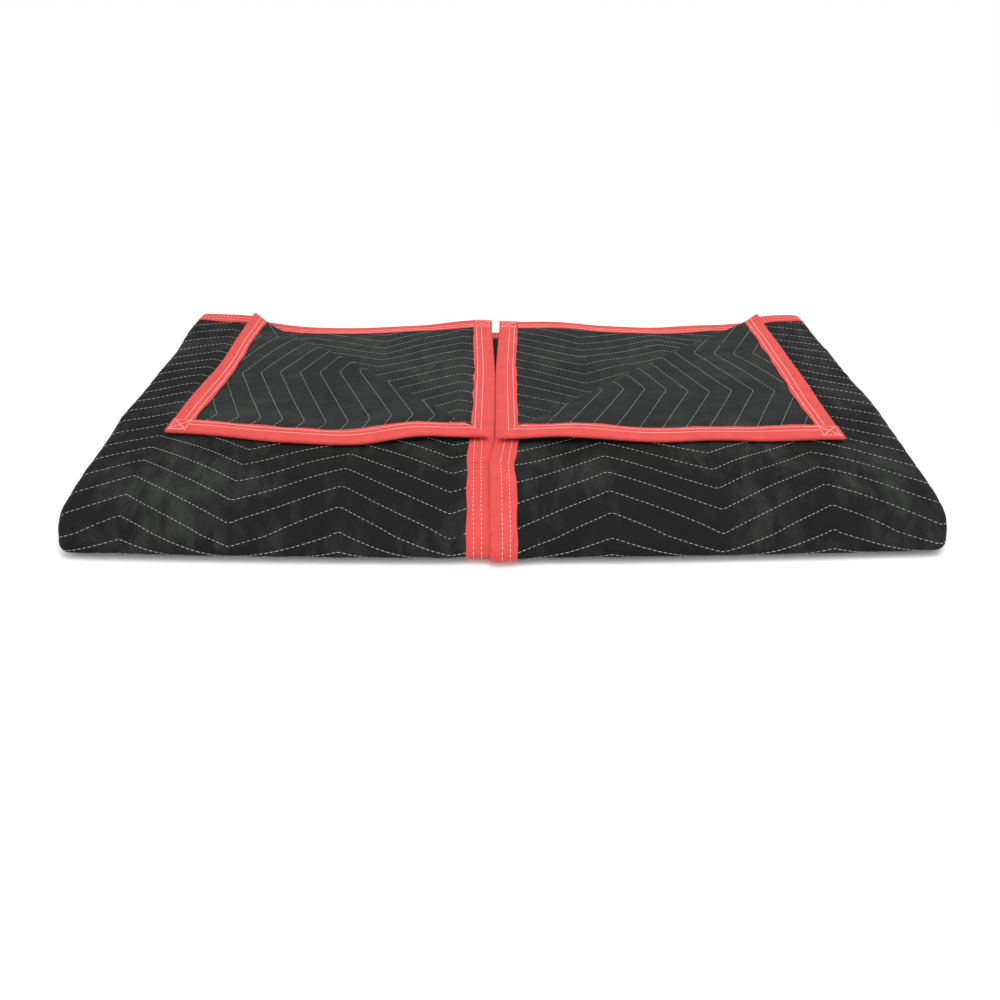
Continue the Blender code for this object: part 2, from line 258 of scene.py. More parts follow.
def place(u, v, w):
    """Carry points from cut coordinates to their place in the folded pad."""
    x, y, z = fold_in_half(u, v, w)
    x, y, z = fold_sides_in(x, y, z, v)
    x, ahead, z = fold_front(x, y, z)
    inner = step_at(np.abs(u), *INNER_MIDDLE) * (1 - smooth(ahead / BACK_REACH))
    ahead = ahead + INNER_DRAW * inner
    for side in CORNERS:
        x, ahead, z = turn_corner(x, ahead, z, u, v, side)
    return np.stack(settle(x, ahead, z), axis=-1)


# The quilted pad: black nonwoven cover cloths with a layer of cotton wadding between them, about
# 5 mm thick, stitched through in parallel zigzag lines one inch apart. The stitch lines are
# drawn down and the wadding stands up between them, with small puckers across it.
BINDING_WIDTH = 0.0254
VALLEY = 0.0019          # half the cloth's thickness on a stitch line
PLAIN = 0.0021           # half its thickness where nobody sees the quilting
EDGE = 0.0012            # half its thickness where the binding presses it
CLEAR = 0.0003           # distance kept between the cloth and the tape
EDGE_RAMP = 0.009        # width over which the cloth thins towards the binding
EDGE_POWER = 0.6
PUFF_POWER = 0.55        # the lower, the flatter the cloth lies between two stitch lines
LINE_PITCH = 0.0254
FIRST_LINE = 0.0127      # from the first end to the first stitch line
ZIG_REPEAT = 0.2165
ZIG_START = 0.0412       # from the left edge to the zigzag's first trough
ZIG_RISE = 0.0257        # half the way from a trough to a peak
LEAN_AT = (-0.889, -0.439, 0.439, 0.889)  # the lines run a little askew between these places
LEAN = (0.0101, -0.0185, -0.0007, 0.0086)
PUCKER = 0.0003          # height of the puckers, which are longer along the pad
PUCKER_SIZE = 0.022
PUCKER_STRETCH = 0.45
DENT_SIZE = 0.050        # size of the wider dents that are half as high
END_SEEN = 0.42          # length of the second end that the turned corners bare
ACROSS_STEP = 0.0085
HIDDEN_STEP = 0.035
EDGE_STRIP = 0.003       # width of the first strip of the cloth's mesh beside the tape
ROW_GAP = 0.004          # gap from the rows that follow the lines to the others, half at the tape


def linear(code):
    """A linear colour from an sRGB hex code."""
    parts = [int(code[k:k + 2], 16) / 255 for k in (0, 2, 4)]
    return (*(p / 12.92 if p <= 0.04045 else ((p + 0.055) / 1.055) ** 2.4 for p in parts), 1.0)


def add_node(tree, kind, inputs=None, **settings):
    """Add a node with its settings, and set or link its inputs."""
    node = tree.nodes.new(kind)
    for name, value in settings.items():
        setattr(node, name, value)
    for name, value in (inputs or {}).items():
        if isinstance(value, bpy.types.NodeSocket):
            tree.links.new(value, node.inputs[name])
        else:
            node.inputs[name].default_value = value
    return node


def new_material(name):
    """A new material, with its node tree and its shader."""
    material = bpy.data.materials.new(name)
    material.use_nodes = True
    return material, material.node_tree, material.node_tree.nodes["Principled BSDF"]


def mix_colours(tree, share, first, second):
    """A colour between two. Each is a socket or a colour; 6, 7 and 2 are the node's for colours."""
    return add_node(tree, "ShaderNodeMix", {"Factor": share, 6: first, 7: second},
                    data_type="RGBA").outputs[2]


def spread(start, end, step):
    """Even stations from one value up to another, no further apart than a step."""
    count = max(1, math.ceil(abs(end - start) / step - 1e-6))
    return [start + (end - start) * k / count for k in range(count)]


def half_stations(side):
    """Places from one side edge of the pad to its middle line, as distances from that line."""
    inner = HALF_WIDTH - BINDING_WIDTH
    flat = side_flat(side)
    half = [HALF_WIDTH, HALF_WIDTH - BINDING_WIDTH / 2, inner - CLEAR]
    half += spread(inner - EDGE_STRIP, flat + SIDE_ARC, ACROSS_STEP)
    half += spread(flat + SIDE_ARC, flat, SIDE_ARC / 12)
    return half + spread(flat, 0.0, 0.08)


def cross_stations():
    """Places across the pad, from its left edge to its right one, with the zigzag's points."""
    left, right = half_stations(-1), half_stations(1)
    stations = np.array([-value for value in left] + [0.0] + right[::-1])
    for number in range(int(2 * CUT_WIDTH / ZIG_REPEAT) + 1):
        point = ZIG_START - HALF_WIDTH + number * ZIG_REPEAT / 2
        if SIDE_FLAT + 0.05 < abs(point) < HALF_WIDTH - BINDING_WIDTH - ACROSS_STEP:
            stations[np.argmin(np.abs(stations - point))] = point
    return stations


def line_rows(start, end, parts):
    """Rows between two places that have each stitch line on a row, some parts to a line's pitch."""
    step = LINE_PITCH / parts
    first = math.ceil((start - FIRST_LINE) / step)
    last = math.floor((end - FIRST_LINE) / step)
    return [FIRST_LINE + k * step for k in range(first, last + 1)]


def long_stations():
    """Places along the pad, from its first bound end to its second one."""
    edge = [0.0, BINDING_WIDTH / 2, BINDING_WIDTH + CLEAR, BINDING_WIDTH + EDGE_STRIP]
    front_end = FRONT_START + FRONT_ARC
    rows = edge + line_rows(edge[-1] + ROW_GAP / 2, front_end, 5)
    rows += line_rows(front_end + ROW_GAP, FIRST_START - ROW_GAP, 4)
    rows += spread(FIRST_START, FIRST_START + FIRST_ARC, FIRST_ARC / 8)
    inside = CUT_LENGTH - front_end
    rows += spread(FIRST_START + FIRST_ARC, inside, HIDDEN_STEP)
    rows += spread(inside, inside + FRONT_ARC, FRONT_ARC / 14)
    rows += spread(inside + FRONT_ARC, CUT_LENGTH - END_SEEN, HIDDEN_STEP)
    rows += line_rows(CUT_LENGTH - END_SEEN + ROW_GAP, CUT_LENGTH - edge[-1] - ROW_GAP / 2, 4)
    return np.array(rows + [CUT_LENGTH - row for row in reversed(edge)])


def zigzag(u):
    """How far the stitch lines run down the pad at a place across it."""
    turn = (u + HALF_WIDTH - ZIG_START) / ZIG_REPEAT
    return ZIG_RISE * (1 - 4 * np.abs(turn - np.round(turn))) + np.interp(u, LEAN_AT, LEAN)


def follows(u, v):
    """How far a row of the cloth's mesh follows the zigzag: not at the tapes and the tight fold."""
    from_end = np.minimum(v, CUT_LENGTH - v)
    ends = step_at(from_end, BINDING_WIDTH + EDGE_STRIP, 0.10)
    bend = step_at(np.abs(v - CUT_LENGTH / 2), FIRST_ARC, 0.10)
    edge = step_at(HALF_WIDTH - np.abs(u), BINDING_WIDTH, 0.02)
    return ends * bend * edge


def half_thickness(u, v, face):
    """Half the cloth's thickness: drawn down on the stitch lines, thin under the binding."""
    turn = (v - zigzag(u) - FIRST_LINE) / LINE_PITCH
    puff = np.abs(np.sin(math.pi * turn)) ** PUFF_POWER
    seen = (v < CUT_LENGTH / 2 + 0.02) | (v > CUT_LENGTH - END_SEEN)
    half = np.where(seen, VALLEY + (CREST - VALLEY) * puff, PLAIN)
    puckers = ripple(u, v * PUCKER_STRETCH, PUCKER_SIZE, 11 + face)
    dents = ripple(u, v, DENT_SIZE, 17 + face)
    half = half + PUCKER * np.where(seen, puff * (puckers + 0.5 * dents), 0.0)
    inward = np.minimum(HALF_WIDTH - np.abs(u), np.minimum(v, CUT_LENGTH - v))
    ramp = np.clip((inward - BINDING_WIDTH - CLEAR) / EDGE_RAMP, 0.0, 1.0) ** EDGE_POWER
    return EDGE + (half - EDGE) * ramp


def grid_faces(columns, rows):
    """Quads of a grid of points, and the same grid again below it, joined round the rim."""
    below = columns * rows
    index = np.arange(below).reshape(rows, columns)
    top = np.stack([index[:-1, :-1], index[:-1, 1:], index[1:, 1:], index[1:, :-1]], -1)
    bottom = top[..., ::-1] + below
    rim = np.concatenate([index[0, :-1], index[:-1, -1], index[-1, :0:-1], index[:0:-1, 0]])
    after = np.roll(rim, -1)
    wall = np.stack([rim, rim + below, after + below, after], -1)
    return np.concatenate([top.reshape(-1, 4), bottom.reshape(-1, 4), wall])


def cut_for_turns(mesh):
    """Give a cloth in cut coordinates edges along the lines where the turned corners bend."""
    for side, row in CORNERS.items():
        normal = (-side / row["along_back"], 1 / row["along_opening"], 0.0)
        length = math.hypot(normal[0], normal[1])
        for step in range(BEND_STEPS + 1):
            past = math.pi * TURN_RADIUS * (step / BEND_STEPS - 0.5)
            back = (1 - past * length) * row["along_back"]
            start = side * (HALF_WIDTH - back)
            near = []
            for face in mesh.faces:
                centre = face.calc_center_median()
                if centre.y < TOP_ALONG and side * centre.x > TOP_ACROSS:
                    distance = (start - centre.x) * normal[0] - centre.y * normal[1]
                    if abs(distance) / length < BEND_NEAR:
                        near.append(face)
            parts = set(near)
            for face in near:
                parts.update(face.edges)
                parts.update(face.verts)
            bmesh.ops.bisect_plane(mesh, geom=list(parts), dist=1e-6, plane_no=normal,
                                   plane_co=(start, 0.0, 0.0))


def finish_cloth(name, points, faces, material, sharp=None):
    """Fold a cloth made in cut coordinates and add it, with its cut as UVs and its side named."""
    data = bpy.data.meshes.new(name)
    data.from_pydata(points.tolist(), [], faces)
    mesh = bmesh.new()
    mesh.from_mesh(data)
    cut_for_turns(mesh)
    mesh.to_mesh(data)
    mesh.free()
    cut = np.empty(len(data.vertices) * 3)
    data.vertices.foreach_get("co", cut)
    cut = cut.reshape(-1, 3)
    used = np.empty(len(data.loops), dtype=np.int32)
    data.loops.foreach_get("vertex_index", used)
    layer = data.uv_layers.new(name="cut")
    layer.data.foreach_set("uv", cut[used, :2].astype(np.float32).ravel())
    face_side = data.attributes.new("face_side", "FLOAT", "POINT")
    face_side.data.foreach_set("value", (cut[:, 2] > 0).astype(np.float32))
    data.vertices.foreach_set("co", place(*cut.T).ravel())
    data.shade_smooth()
    if sharp:
        data.set_sharp_from_angle(angle=math.radians(sharp))
    data.update()
    data.materials.append(material)
    piece = bpy.data.objects.new(name, data)
    bpy.context.scene.collection.objects.link(piece)
    return piece


# Spunbonded polypropylene nonwoven, dyed black and pressed flat by hot rolls: a matt cloth of
# fine tangled fibres with a faint sheen, crumpled, with soft highlights on its folds painted in.
# The reverse side is the same cloth, a little greyer. The fibres are drawn about 1 mm long.
def nonwoven_cloth():
    material, tree, shader = new_material("black_spunbond_nonwoven")
    cut = add_node(tree, "ShaderNodeUVMap", uv_map="cut").outputs["UV"]
    side = add_node(tree, "ShaderNodeAttribute", attribute_name="face_side").outputs["Fac"]
    fibre = add_node(tree, "ShaderNodeTexNoise",
                     {"Vector": cut, "Scale": 1100.0, "Detail": 3.0, "Roughness": 0.6})
    cloud = add_node(tree, "ShaderNodeTexNoise", {"Vector": cut, "Scale": 45.0, "Detail": 3.0})
    face = mix_colours(tree, cloud.outputs["Fac"], linear("141414"), linear("1b1c1b"))
    reverse = mix_colours(tree, cloud.outputs["Fac"], linear("1e201f"), linear("272928"))
    colour = mix_colours(tree, side, reverse, face)
    # Painted highlights: streaks of stretched wrinkle noise, gathered into broad patches, mix a
    # lighter grey into the colour where light would catch the crumpled folds.
    stretched = add_node(tree, "ShaderNodeMapping", {"Vector": cut, "Scale": (1.0, 0.45, 1.0)})
    wrinkle = add_node(tree, "ShaderNodeTexNoise", {"Vector": stretched.outputs["Vector"],
                       "Scale": 48.0, "Detail": 5.0, "Roughness": 0.65, "Distortion": 0.5})
    patch = add_node(tree, "ShaderNodeTexNoise", {"Vector": cut, "Scale": 7.5, "Detail": 2.0})
    lit = add_node(tree, "ShaderNodeMath", {0: wrinkle.outputs["Fac"], 1: patch.outputs["Fac"]},
                   operation="MULTIPLY")
    painted_sheen_share = add_node(tree, "ShaderNodeMapRange", {"Value": lit.outputs["Value"],
                     "From Min": 0.22, "From Max": 0.42, "To Min": 0.0, "To Max": 0.8})
    painted_highlight_colour = mix_colours(tree, painted_sheen_share.outputs["Result"], colour, linear("343634"))
    tree.links.new(painted_highlight_colour, shader.inputs["Base Color"])
    rough = add_node(tree, "ShaderNodeMapRange", {"Value": fibre.outputs["Fac"],
                     "To Min": 0.66, "To Max": 0.82})
    tree.links.new(rough.outputs["Result"], shader.inputs["Roughness"])
    shader.inputs["Specular IOR Level"].default_value = 0.07
    crumple = add_node(tree, "ShaderNodeTexNoise", {"Vector": cut, "Scale": 55.0, "Detail": 4.0,
                       "Roughness": 0.55, "Distortion": 1.2})
    first = add_node(tree, "ShaderNodeBump", {"Height": crumple.outputs["Fac"],
                     "Strength": 0.6, "Distance": 0.0035})
    second = add_node(tree, "ShaderNodeBump", {"Height": fibre.outputs["Fac"], "Strength": 0.35,
                      "Distance": 0.0003, "Normal": first.outputs["Normal"]})
    tree.links.new(second.outputs["Normal"], shader.inputs["Normal"])
    return material


row_u, row_v = np.meshgrid(cross_stations(), long_stations())
row_v = row_v + zigzag(row_u) * follows(row_u, row_v)
sheets = [np.stack([row_u, row_v, face * half_thickness(row_u, row_v, face)], -1)
          for face in (1, -1)]
pad = finish_cloth("quilted_cloth", np.concatenate(sheets).reshape(-1, 3),
                   grid_faces(row_u.shape[1], row_u.shape[0]).tolist(), nonwoven_cloth())
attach(pad, "root")
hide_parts("quilted_pad")


# The binding tapes: coral red polyester tape about 50 mm wide, folded lengthwise over each edge
# so that one inch shows on either side. The side tapes run from end to end and the end tapes
# fit between them. Two shallow grooves run along each leg, where the reverse one is stitched.
TAPE = 0.0009            # the tape's thickness
TAPE_IN = EDGE + CLEAR   # height of its inner surface over the middle of the cloth
TAPE_OUT = TAPE_IN + TAPE
TAPE_ROWS = (0.0140, 0.0211)  # the two grooves, from the pad's edge
TAPE_GROOVE = 0.00022
GROOVE_WIDTH = 0.0016
TAPE_BUMP = 0.00012      # height of the tape's small bumps
TAPE_BUMP_SIZE = 0.02
LIP_WAVE = 0.0009        # how far the tape's long edges wander
LIP_WAVE_SIZE = 0.05
TAPE_STEP = 0.006


def tape_level(inward, run, seed):
    """Height of the tape's outer surface over the middle of the cloth."""
    level = TAPE_OUT + TAPE_BUMP * ripple(run, inward * 3, TAPE_BUMP_SIZE, seed)
    for row in TAPE_ROWS:
        level = level - TAPE_GROOVE * np.exp(-((inward - row) / GROOVE_WIDTH) ** 2)
    return level


def tape_line(run, seed, outside):
    """A tape's outer or inner line round the edge at each station: places inward, and heights."""
    leg = np.linspace(BINDING_WIDTH, 0.0, 13)
    leg = leg[leg > EDGE + 0.0005]
    lip_wave = LIP_WAVE * ripple(run, 0.0, LIP_WAVE_SIZE, seed) * (leg / BINDING_WIDTH) ** 4
    radius = TAPE_OUT if outside else TAPE_IN
    level = tape_level(leg, run, seed) if outside else np.full(lip_wave.shape, radius)
    angle = np.tile(np.linspace(0, math.pi, 7), (len(run), 1))
    leg = leg + lip_wave
    return (np.concatenate([leg, EDGE - radius * np.sin(angle), leg[:, ::-1]], 1),
            np.concatenate([level, radius * np.cos(angle), -level[:, ::-1]], 1))


def tape_place(kind, sign, run, inward):
    """Where a place along a tape and inward from the pad's edge lies in cut coordinates."""
    if kind == "side":
        return sign * (HALF_WIDTH - inward), run
    return run, np.where(sign < 0, inward, CUT_LENGTH - inward)


# Woven polyester tape, dyed coral red, with fine ribs both across and along it. Real ribs are
# 0.4 mm apart and are drawn at 0.8 mm so that they show. It is matt, and a little uneven in tone.
def woven_tape():
    material, tree, shader = new_material("coral_polyester_tape")
    cut = add_node(tree, "ShaderNodeUVMap", uv_map="cut").outputs["UV"]
    cloud = add_node(tree, "ShaderNodeTexNoise", {"Vector": cut, "Scale": 60.0, "Detail": 4.0})
    colour = mix_colours(tree, cloud.outputs["Fac"], linear("b83c3a"), linear("d64f4a"))
    tree.links.new(colour, shader.inputs["Base Color"])
    shader.inputs["Roughness"].default_value = 0.62
    shader.inputs["Specular IOR Level"].default_value = 0.15
    bumps = None
    for turned in (0.0, math.pi / 2):
        lay = add_node(tree, "ShaderNodeMapping", {"Vector": cut, "Rotation": (0, 0, turned)})
        ribs = add_node(tree, "ShaderNodeTexWave", {"Vector": lay.outputs["Vector"],
                        "Scale": 400.0, "Distortion": 1.5, "Detail": 1.0})
        inputs = {"Height": ribs.outputs["Fac"], "Strength": 0.3, "Distance": 0.0002}
        if bumps:
            inputs["Normal"] = bumps.outputs["Normal"]
        bumps = add_node(tree, "ShaderNodeBump", inputs)
    tree.links.new(bumps.outputs["Normal"], shader.inputs["Normal"])
    return material


def binding(name, kind, sign, stations, material, seed):
    """One tape: a closed channel over an edge, from one end of that edge to the other."""
    outer, inner = (tape_line(stations[:, None], seed, outside) for outside in (True, False))
    inward, height = (np.concatenate([there, back[:, ::-1]], 1)
                      for there, back in zip(outer, inner))
    half = outer[0].shape[1]
    count = 2 * half
    run = np.repeat(stations[:, None], count, 1)
    if kind == "side":
        run[0, :half], run[-1, :half] = -CLEAR - TAPE, CUT_LENGTH + CLEAR + TAPE
        run[0, half:], run[-1, half:] = -CLEAR, CUT_LENGTH + CLEAR
    u, v = tape_place(kind, sign, run, inward)
    index = np.arange(count * len(stations)).reshape(len(stations), count)
    beside = np.roll(index, -1, axis=1)
    walls = np.stack([index[:-1], beside[:-1], beside[1:], index[1:]], -1)
    faces = walls.reshape(-1, 4).tolist()
    for ring in (index[0].tolist(), index[-1].tolist()):
        if kind == "side":
            faces += [ring[:half], ring[half:],
                      [ring[0], ring[half - 1], ring[half], ring[count - 1]]]
        else:
            faces += [[ring[k], ring[k + 1], ring[count - 2 - k], ring[count - 1 - k]]
                      for k in range(half - 1)]
    piece = finish_cloth(name, np.stack([u, v, height], -1).reshape(-1, 3), faces, material,
                         sharp=55)
    mesh = bmesh.new()
    mesh.from_mesh(piece.data)
    bmesh.ops.recalc_face_normals(mesh, faces=mesh.faces[:])
    mesh.to_mesh(piece.data)
    mesh.free()
    return piece


tape_cloth = woven_tape()
side_rows = np.unique(np.concatenate([
    np.arange(0.0, FRONT_START + FRONT_ARC, TAPE_STEP), long_stations()[3::3],
    [CUT_LENGTH], np.arange(CUT_LENGTH - END_SEEN, CUT_LENGTH, TAPE_STEP)]).round(5))
side_rows = side_rows[np.concatenate([[True], np.diff(side_rows) > TAPE_STEP / 5])]
end_reach = HALF_WIDTH - BINDING_WIDTH - CLEAR
end_rows = cross_stations()
end_rows = end_rows[np.abs(end_rows) < end_reach - 0.002]
end_rows = np.concatenate([[-end_reach], end_rows, [end_reach]])
for number, (name, kind, sign, rows, node) in enumerate((
        ("left_side_tape", "side", -1, side_rows, "binding_left_side"),
        ("right_side_tape", "side", 1, side_rows, "binding_right_side"),
        ("first_end_tape", "end", -1, end_rows, "binding_first_end"),
        ("second_end_tape", "end", 1, end_rows, "binding_second_end"))):
    piece = binding(name, kind, sign, rows, tape_cloth, 30 + number)
    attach(piece, "root")
    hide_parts(node)


# The stitching: polyester thread, light grey in the quilting and pale pink on the tapes. A stitch
# is a short plump length of thread between two needle holes, and all are laid along guide lines
# that run on the cloth's surface. The quilting's thread is a little bolder on the face.
STITCH_PITCH = 0.0052
SHORTEST, LONGEST = 0.82, 1.08  # stitches, as shares of their usual length
GUIDE_STEP = 0.004
NORMAL_REACH = 0.0008    # half the distance over which the cloth's slope is taken
THREAD_RISE = 0.0003     # height of the quilting's guide lines over the cloth
NEEDLE_GAP = 0.0015      # distance from the tape to the quilting's nearest stitch
SIDE_SEEN = 0.02         # the quilting shows from this far before the sides' folds
FOLD_SEEN = 0.012        # and right across the pad this close to the first fold's middle
FOLD_PAST = 0.004        # it goes on this far past that middle
BEND_PAST = 0.006        # and this far into a turned corner's bend, where the reverse takes over
BARED_FROM = -0.004      # the layer under a turned corner shows from here, counted from its bend


def stitch_tree():
    """Geometry Nodes that lay a stitch at every pitch along guide lines on the cloth."""
    tree = bpy.data.node_groups.new("row_of_stitches", "GeometryNodeTree")
    for name, kind in (("Guide", "NodeSocketGeometry"), ("Pitch", "NodeSocketFloat"),
                       ("Stitch Length", "NodeSocketFloat"), ("Thickness", "NodeSocketFloat"),
                       ("Seed", "NodeSocketInt"), ("Thread", "NodeSocketMaterial")):
        tree.interface.new_socket(name, in_out="INPUT", socket_type=kind)
    tree.interface.new_socket("Stitches", in_out="OUTPUT", socket_type="NodeSocketGeometry")
    given = add_node(tree, "NodeGroupInput").outputs
    line = add_node(tree, "GeometryNodeMeshToCurve", {"Mesh": given["Guide"]})
    spaced = add_node(tree, "GeometryNodeResampleCurve",
                      {"Curve": line.outputs["Curve"], "Length": given["Pitch"]}, mode="LENGTH")
    along_line = add_node(tree, "GeometryNodeInputTangent").outputs["Tangent"]
    upward = add_node(tree, "GeometryNodeInputNamedAttribute", {"Name": "cloth_normal"},
                      data_type="FLOAT_VECTOR").outputs["Attribute"]
    first = add_node(tree, "FunctionNodeAlignRotationToVector", {"Vector": along_line}, axis="Z")
    second = add_node(tree, "FunctionNodeAlignRotationToVector",
                      {"Rotation": first.outputs["Rotation"], "Vector": upward},
                      axis="X", pivot_axis="Z")
    uneven = add_node(tree, "FunctionNodeRandomValue", {2: SHORTEST, 3: LONGEST,
                      "Seed": given["Seed"]})
    length = add_node(tree, "ShaderNodeMath", {0: given["Stitch Length"],
                      1: uneven.outputs[1]}, operation="MULTIPLY")
    size = add_node(tree, "ShaderNodeCombineXYZ", {"X": given["Thickness"],
                    "Y": given["Thickness"], "Z": length.outputs["Value"]})
    bead = add_node(tree, "GeometryNodeMeshUVSphere", {"Segments": 5, "Rings": 3, "Radius": 0.5})
    laid = add_node(tree, "GeometryNodeInstanceOnPoints",
                    {"Points": spaced.outputs["Curve"], "Instance": bead.outputs["Mesh"],
                     "Rotation": second.outputs["Rotation"], "Scale": size.outputs["Vector"]})
    real = add_node(tree, "GeometryNodeRealizeInstances", {"Geometry": laid.outputs["Instances"]})
    painted = add_node(tree, "GeometryNodeSetMaterial",
                       {"Geometry": real.outputs["Geometry"], "Material": given["Thread"]})
    add_node(tree, "NodeGroupOutput", {"Stitches": painted.outputs["Geometry"]})
    return tree


def on_cloth(u, v, height, face):
    """Places on the cloth's surface or over it, and the directions that point away from it."""
    u, v = np.asarray(u, dtype=float), np.asarray(v, dtype=float)
    w = face * (height + 0 * u)
    along_u = place(u + NORMAL_REACH, v, w) - place(u - NORMAL_REACH, v, w)
    along_v = place(u, v + NORMAL_REACH, w) - place(u, v - NORMAL_REACH, w)
    normal = np.cross(along_u, along_v) * face
    normal /= np.linalg.norm(normal, axis=-1, keepdims=True) + 1e-12
    return place(u, v, w), normal


def shown_runs(points, normals, shown):
    """Split one long guide line into the stretches that show."""
    runs, start = [], None
    for k in range(len(shown) + 1):
        if k < len(shown) and shown[k]:
            start = k if start is None else start
        elif start is not None:
            if k - start > 1:
                runs.append((points[start:k], normals[start:k]))
            start = None
    return runs


def sew(name, runs, tree, thread, **sizes):
    """Lay stitches along guide lines, and keep them as one plain mesh."""
    points = np.concatenate([run[0] for run in runs])
    normals = np.concatenate([run[1] for run in runs])
    edges, start = [], 0
    for run in runs:
        edges += [(start + k, start + k + 1) for k in range(len(run[0]) - 1)]
        start += len(run[0])
    guide = bpy.data.meshes.new(name + "_guide")
    guide.from_pydata(points.tolist(), edges, [])
    attribute = guide.attributes.new("cloth_normal", "FLOAT_VECTOR", "POINT")
    attribute.data.foreach_set("vector", normals.astype(np.float32).ravel())
    holder = bpy.data.objects.new(name + "_guide", guide)
    bpy.context.scene.collection.objects.link(holder)
    modifier = holder.modifiers.new("stitches", "NODES")
    modifier.node_group = tree
    values = {"Pitch": STITCH_PITCH, "Seed": 1, "Thread": thread, **sizes}
    for item in tree.interface.items_tree:
        if item.in_out == "INPUT" and item.name in values:
            modifier[item.identifier] = values[item.name]
    bpy.context.view_layer.update()
    evaluated = holder.evaluated_get(bpy.context.evaluated_depsgraph_get())
    data = bpy.data.meshes.new_from_object(evaluated)
    holder.modifiers.remove(modifier)
    bpy.data.objects.remove(holder, do_unlink=True)
    bpy.data.meshes.remove(guide)
    data.name = name
    data.shade_smooth()
    piece = bpy.data.objects.new(name, data)
    bpy.context.scene.collection.objects.link(piece)
    return piece


# Spun polyester sewing thread, twisted from two plies: matt, with a soft light edge.
def sewing_thread(name, code):
    material, tree, shader = new_material(name)
    where = add_node(tree, "ShaderNodeTexCoord").outputs["Object"]
    fuzz = add_node(tree, "ShaderNodeTexNoise", {"Vector": where, "Scale": 900.0})
    darker, lighter = ((*(min(1.0, part * scale) for part in linear(code)[:3]), 1.0)
                       for scale in (0.75, 1.15))
    tree.links.new(mix_colours(tree, fuzz.outputs["Fac"], darker, lighter),
                   shader.inputs["Base Color"])
    shader.inputs["Roughness"].default_value = 0.6
    shader.inputs["Sheen Weight"].default_value = 0.2
    return material


def quilting_runs(face):
    """Guide lines of the quilting on one side of the cloth, where it shows."""
    inner = HALF_WIDTH - BINDING_WIDTH - NEEDLE_GAP
    u = np.arange(-inner, inner, GUIDE_STEP)
    flap = np.abs(u) > SIDE_FLAT - SIDE_SEEN
    count = int((CUT_LENGTH - FIRST_LINE) / LINE_PITCH) + 1
    runs = []
    for number in range(-2, count + 2):
        v = FIRST_LINE + number * LINE_PITCH + zigzag(u)
        inside = np.minimum(v, CUT_LENGTH - v) > BINDING_WIDTH + NEEDLE_GAP
        beyond = np.zeros(u.shape, dtype=bool)
        bared = np.zeros(u.shape, dtype=bool)
        for side in CORNERS:
            here = side * u > 0
            beyond |= here & (beyond_turn(u, v, side)[0] > BEND_PAST)
            bared |= here & (beyond_turn(u, CUT_LENGTH - v, side)[0] > BARED_FROM)
        if face > 0:
            past_middle = v - CUT_LENGTH / 2
            shown = inside & ~beyond & (past_middle < FOLD_PAST)
            shown &= flap | (np.abs(past_middle) < FOLD_SEEN)
        else:
            shown = inside & (((v < TOP_ALONG) & beyond) | bared)
        if shown.any():
            points, normals = on_cloth(u, v, VALLEY + THREAD_RISE, face)
            runs += shown_runs(points, normals, shown)
    return runs


stitches = stitch_tree()
face_thread = sew("quilting_thread_face", quilting_runs(1), stitches,
                  sewing_thread("grey_quilting_thread", "a9a9a7"),
                  **{"Stitch Length": 0.0046, "Thickness": 0.0007, "Seed": 2})
reverse_thread = sew("quilting_thread_reverse", quilting_runs(-1), stitches,
                     sewing_thread("dull_quilting_thread", "9ca19c"),
                     **{"Stitch Length": 0.0050, "Thickness": 0.0006, "Seed": 3})
for piece in (face_thread, reverse_thread):
    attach(piece, "root")


# The tapes' stitching: two rows along each leg of each tape, dashed on the face and close on the
# reverse, and a small square with a cross in it at each corner of the pad, where two tapes meet.
# Two rows of dark red thread cross the left side tape, where two lengths of it are joined.
FACE_ROWS = (0.0108, 0.0186)  # the rows of stitches on the face, from the pad's edge
TAPE_GUIDE_STEP = 0.003
TAPE_RISE = 0.0001       # height of these guide lines over the tape
BOX = (0.0030, 0.0225)   # the corner square, from the pad's edges
JOIN_ROWS = (0.410, 0.419)  # the two rows of the join, from the first end
JOIN_WIDTH = (0.001, 0.0245)  # and their ends, from the pad's edge


def on_tape(kind, sign, run, inward, height, face):
    """Guide points on one leg of a tape, from places along it and inward from the pad's edge."""
    return on_cloth(*tape_place(kind, sign, run, inward), height, face)


def tape_runs(kind, sign, face):
    """Guide lines of the stitches on one leg of a tape."""
    flush = TAPE_OUT + TAPE_RISE
    rows, level = (FACE_ROWS, flush) if face > 0 else (TAPE_ROWS, flush - TAPE_GROOVE)
    if kind == "side":
        run = np.arange(BINDING_WIDTH, CUT_LENGTH - BINDING_WIDTH, TAPE_GUIDE_STEP)
        shown = (run < CUT_LENGTH / 2) | (run > CUT_LENGTH - END_SEEN)
    else:
        run = np.arange(-end_reach, end_reach, TAPE_GUIDE_STEP)
        shown = np.ones(run.shape, dtype=bool)
    runs = []
    for inward in rows:
        runs += shown_runs(*on_tape(kind, sign, run, inward + 0 * run, level, face), shown)
    if kind == "side":
        low, high = BOX
        corners = [(low, low), (high, low), (high, high), (low, high), (low, low),
                   (high, high), (high, low), (low, high)]
        for at_second in (False, True):
            for one, other in zip(corners, corners[1:]):
                inward, from_end = (np.linspace(*ends, 8) for ends in zip(one, other))
                along = CUT_LENGTH - from_end if at_second else from_end
                runs.append(on_tape(kind, sign, along, inward, flush, face))
    return runs


def join_runs():
    """Guide lines of the two rows across the left side tape."""
    inward = np.linspace(*JOIN_WIDTH, 9)
    return [on_tape("side", -1, row + 0 * inward, inward, TAPE_OUT, 1) for row in JOIN_ROWS]


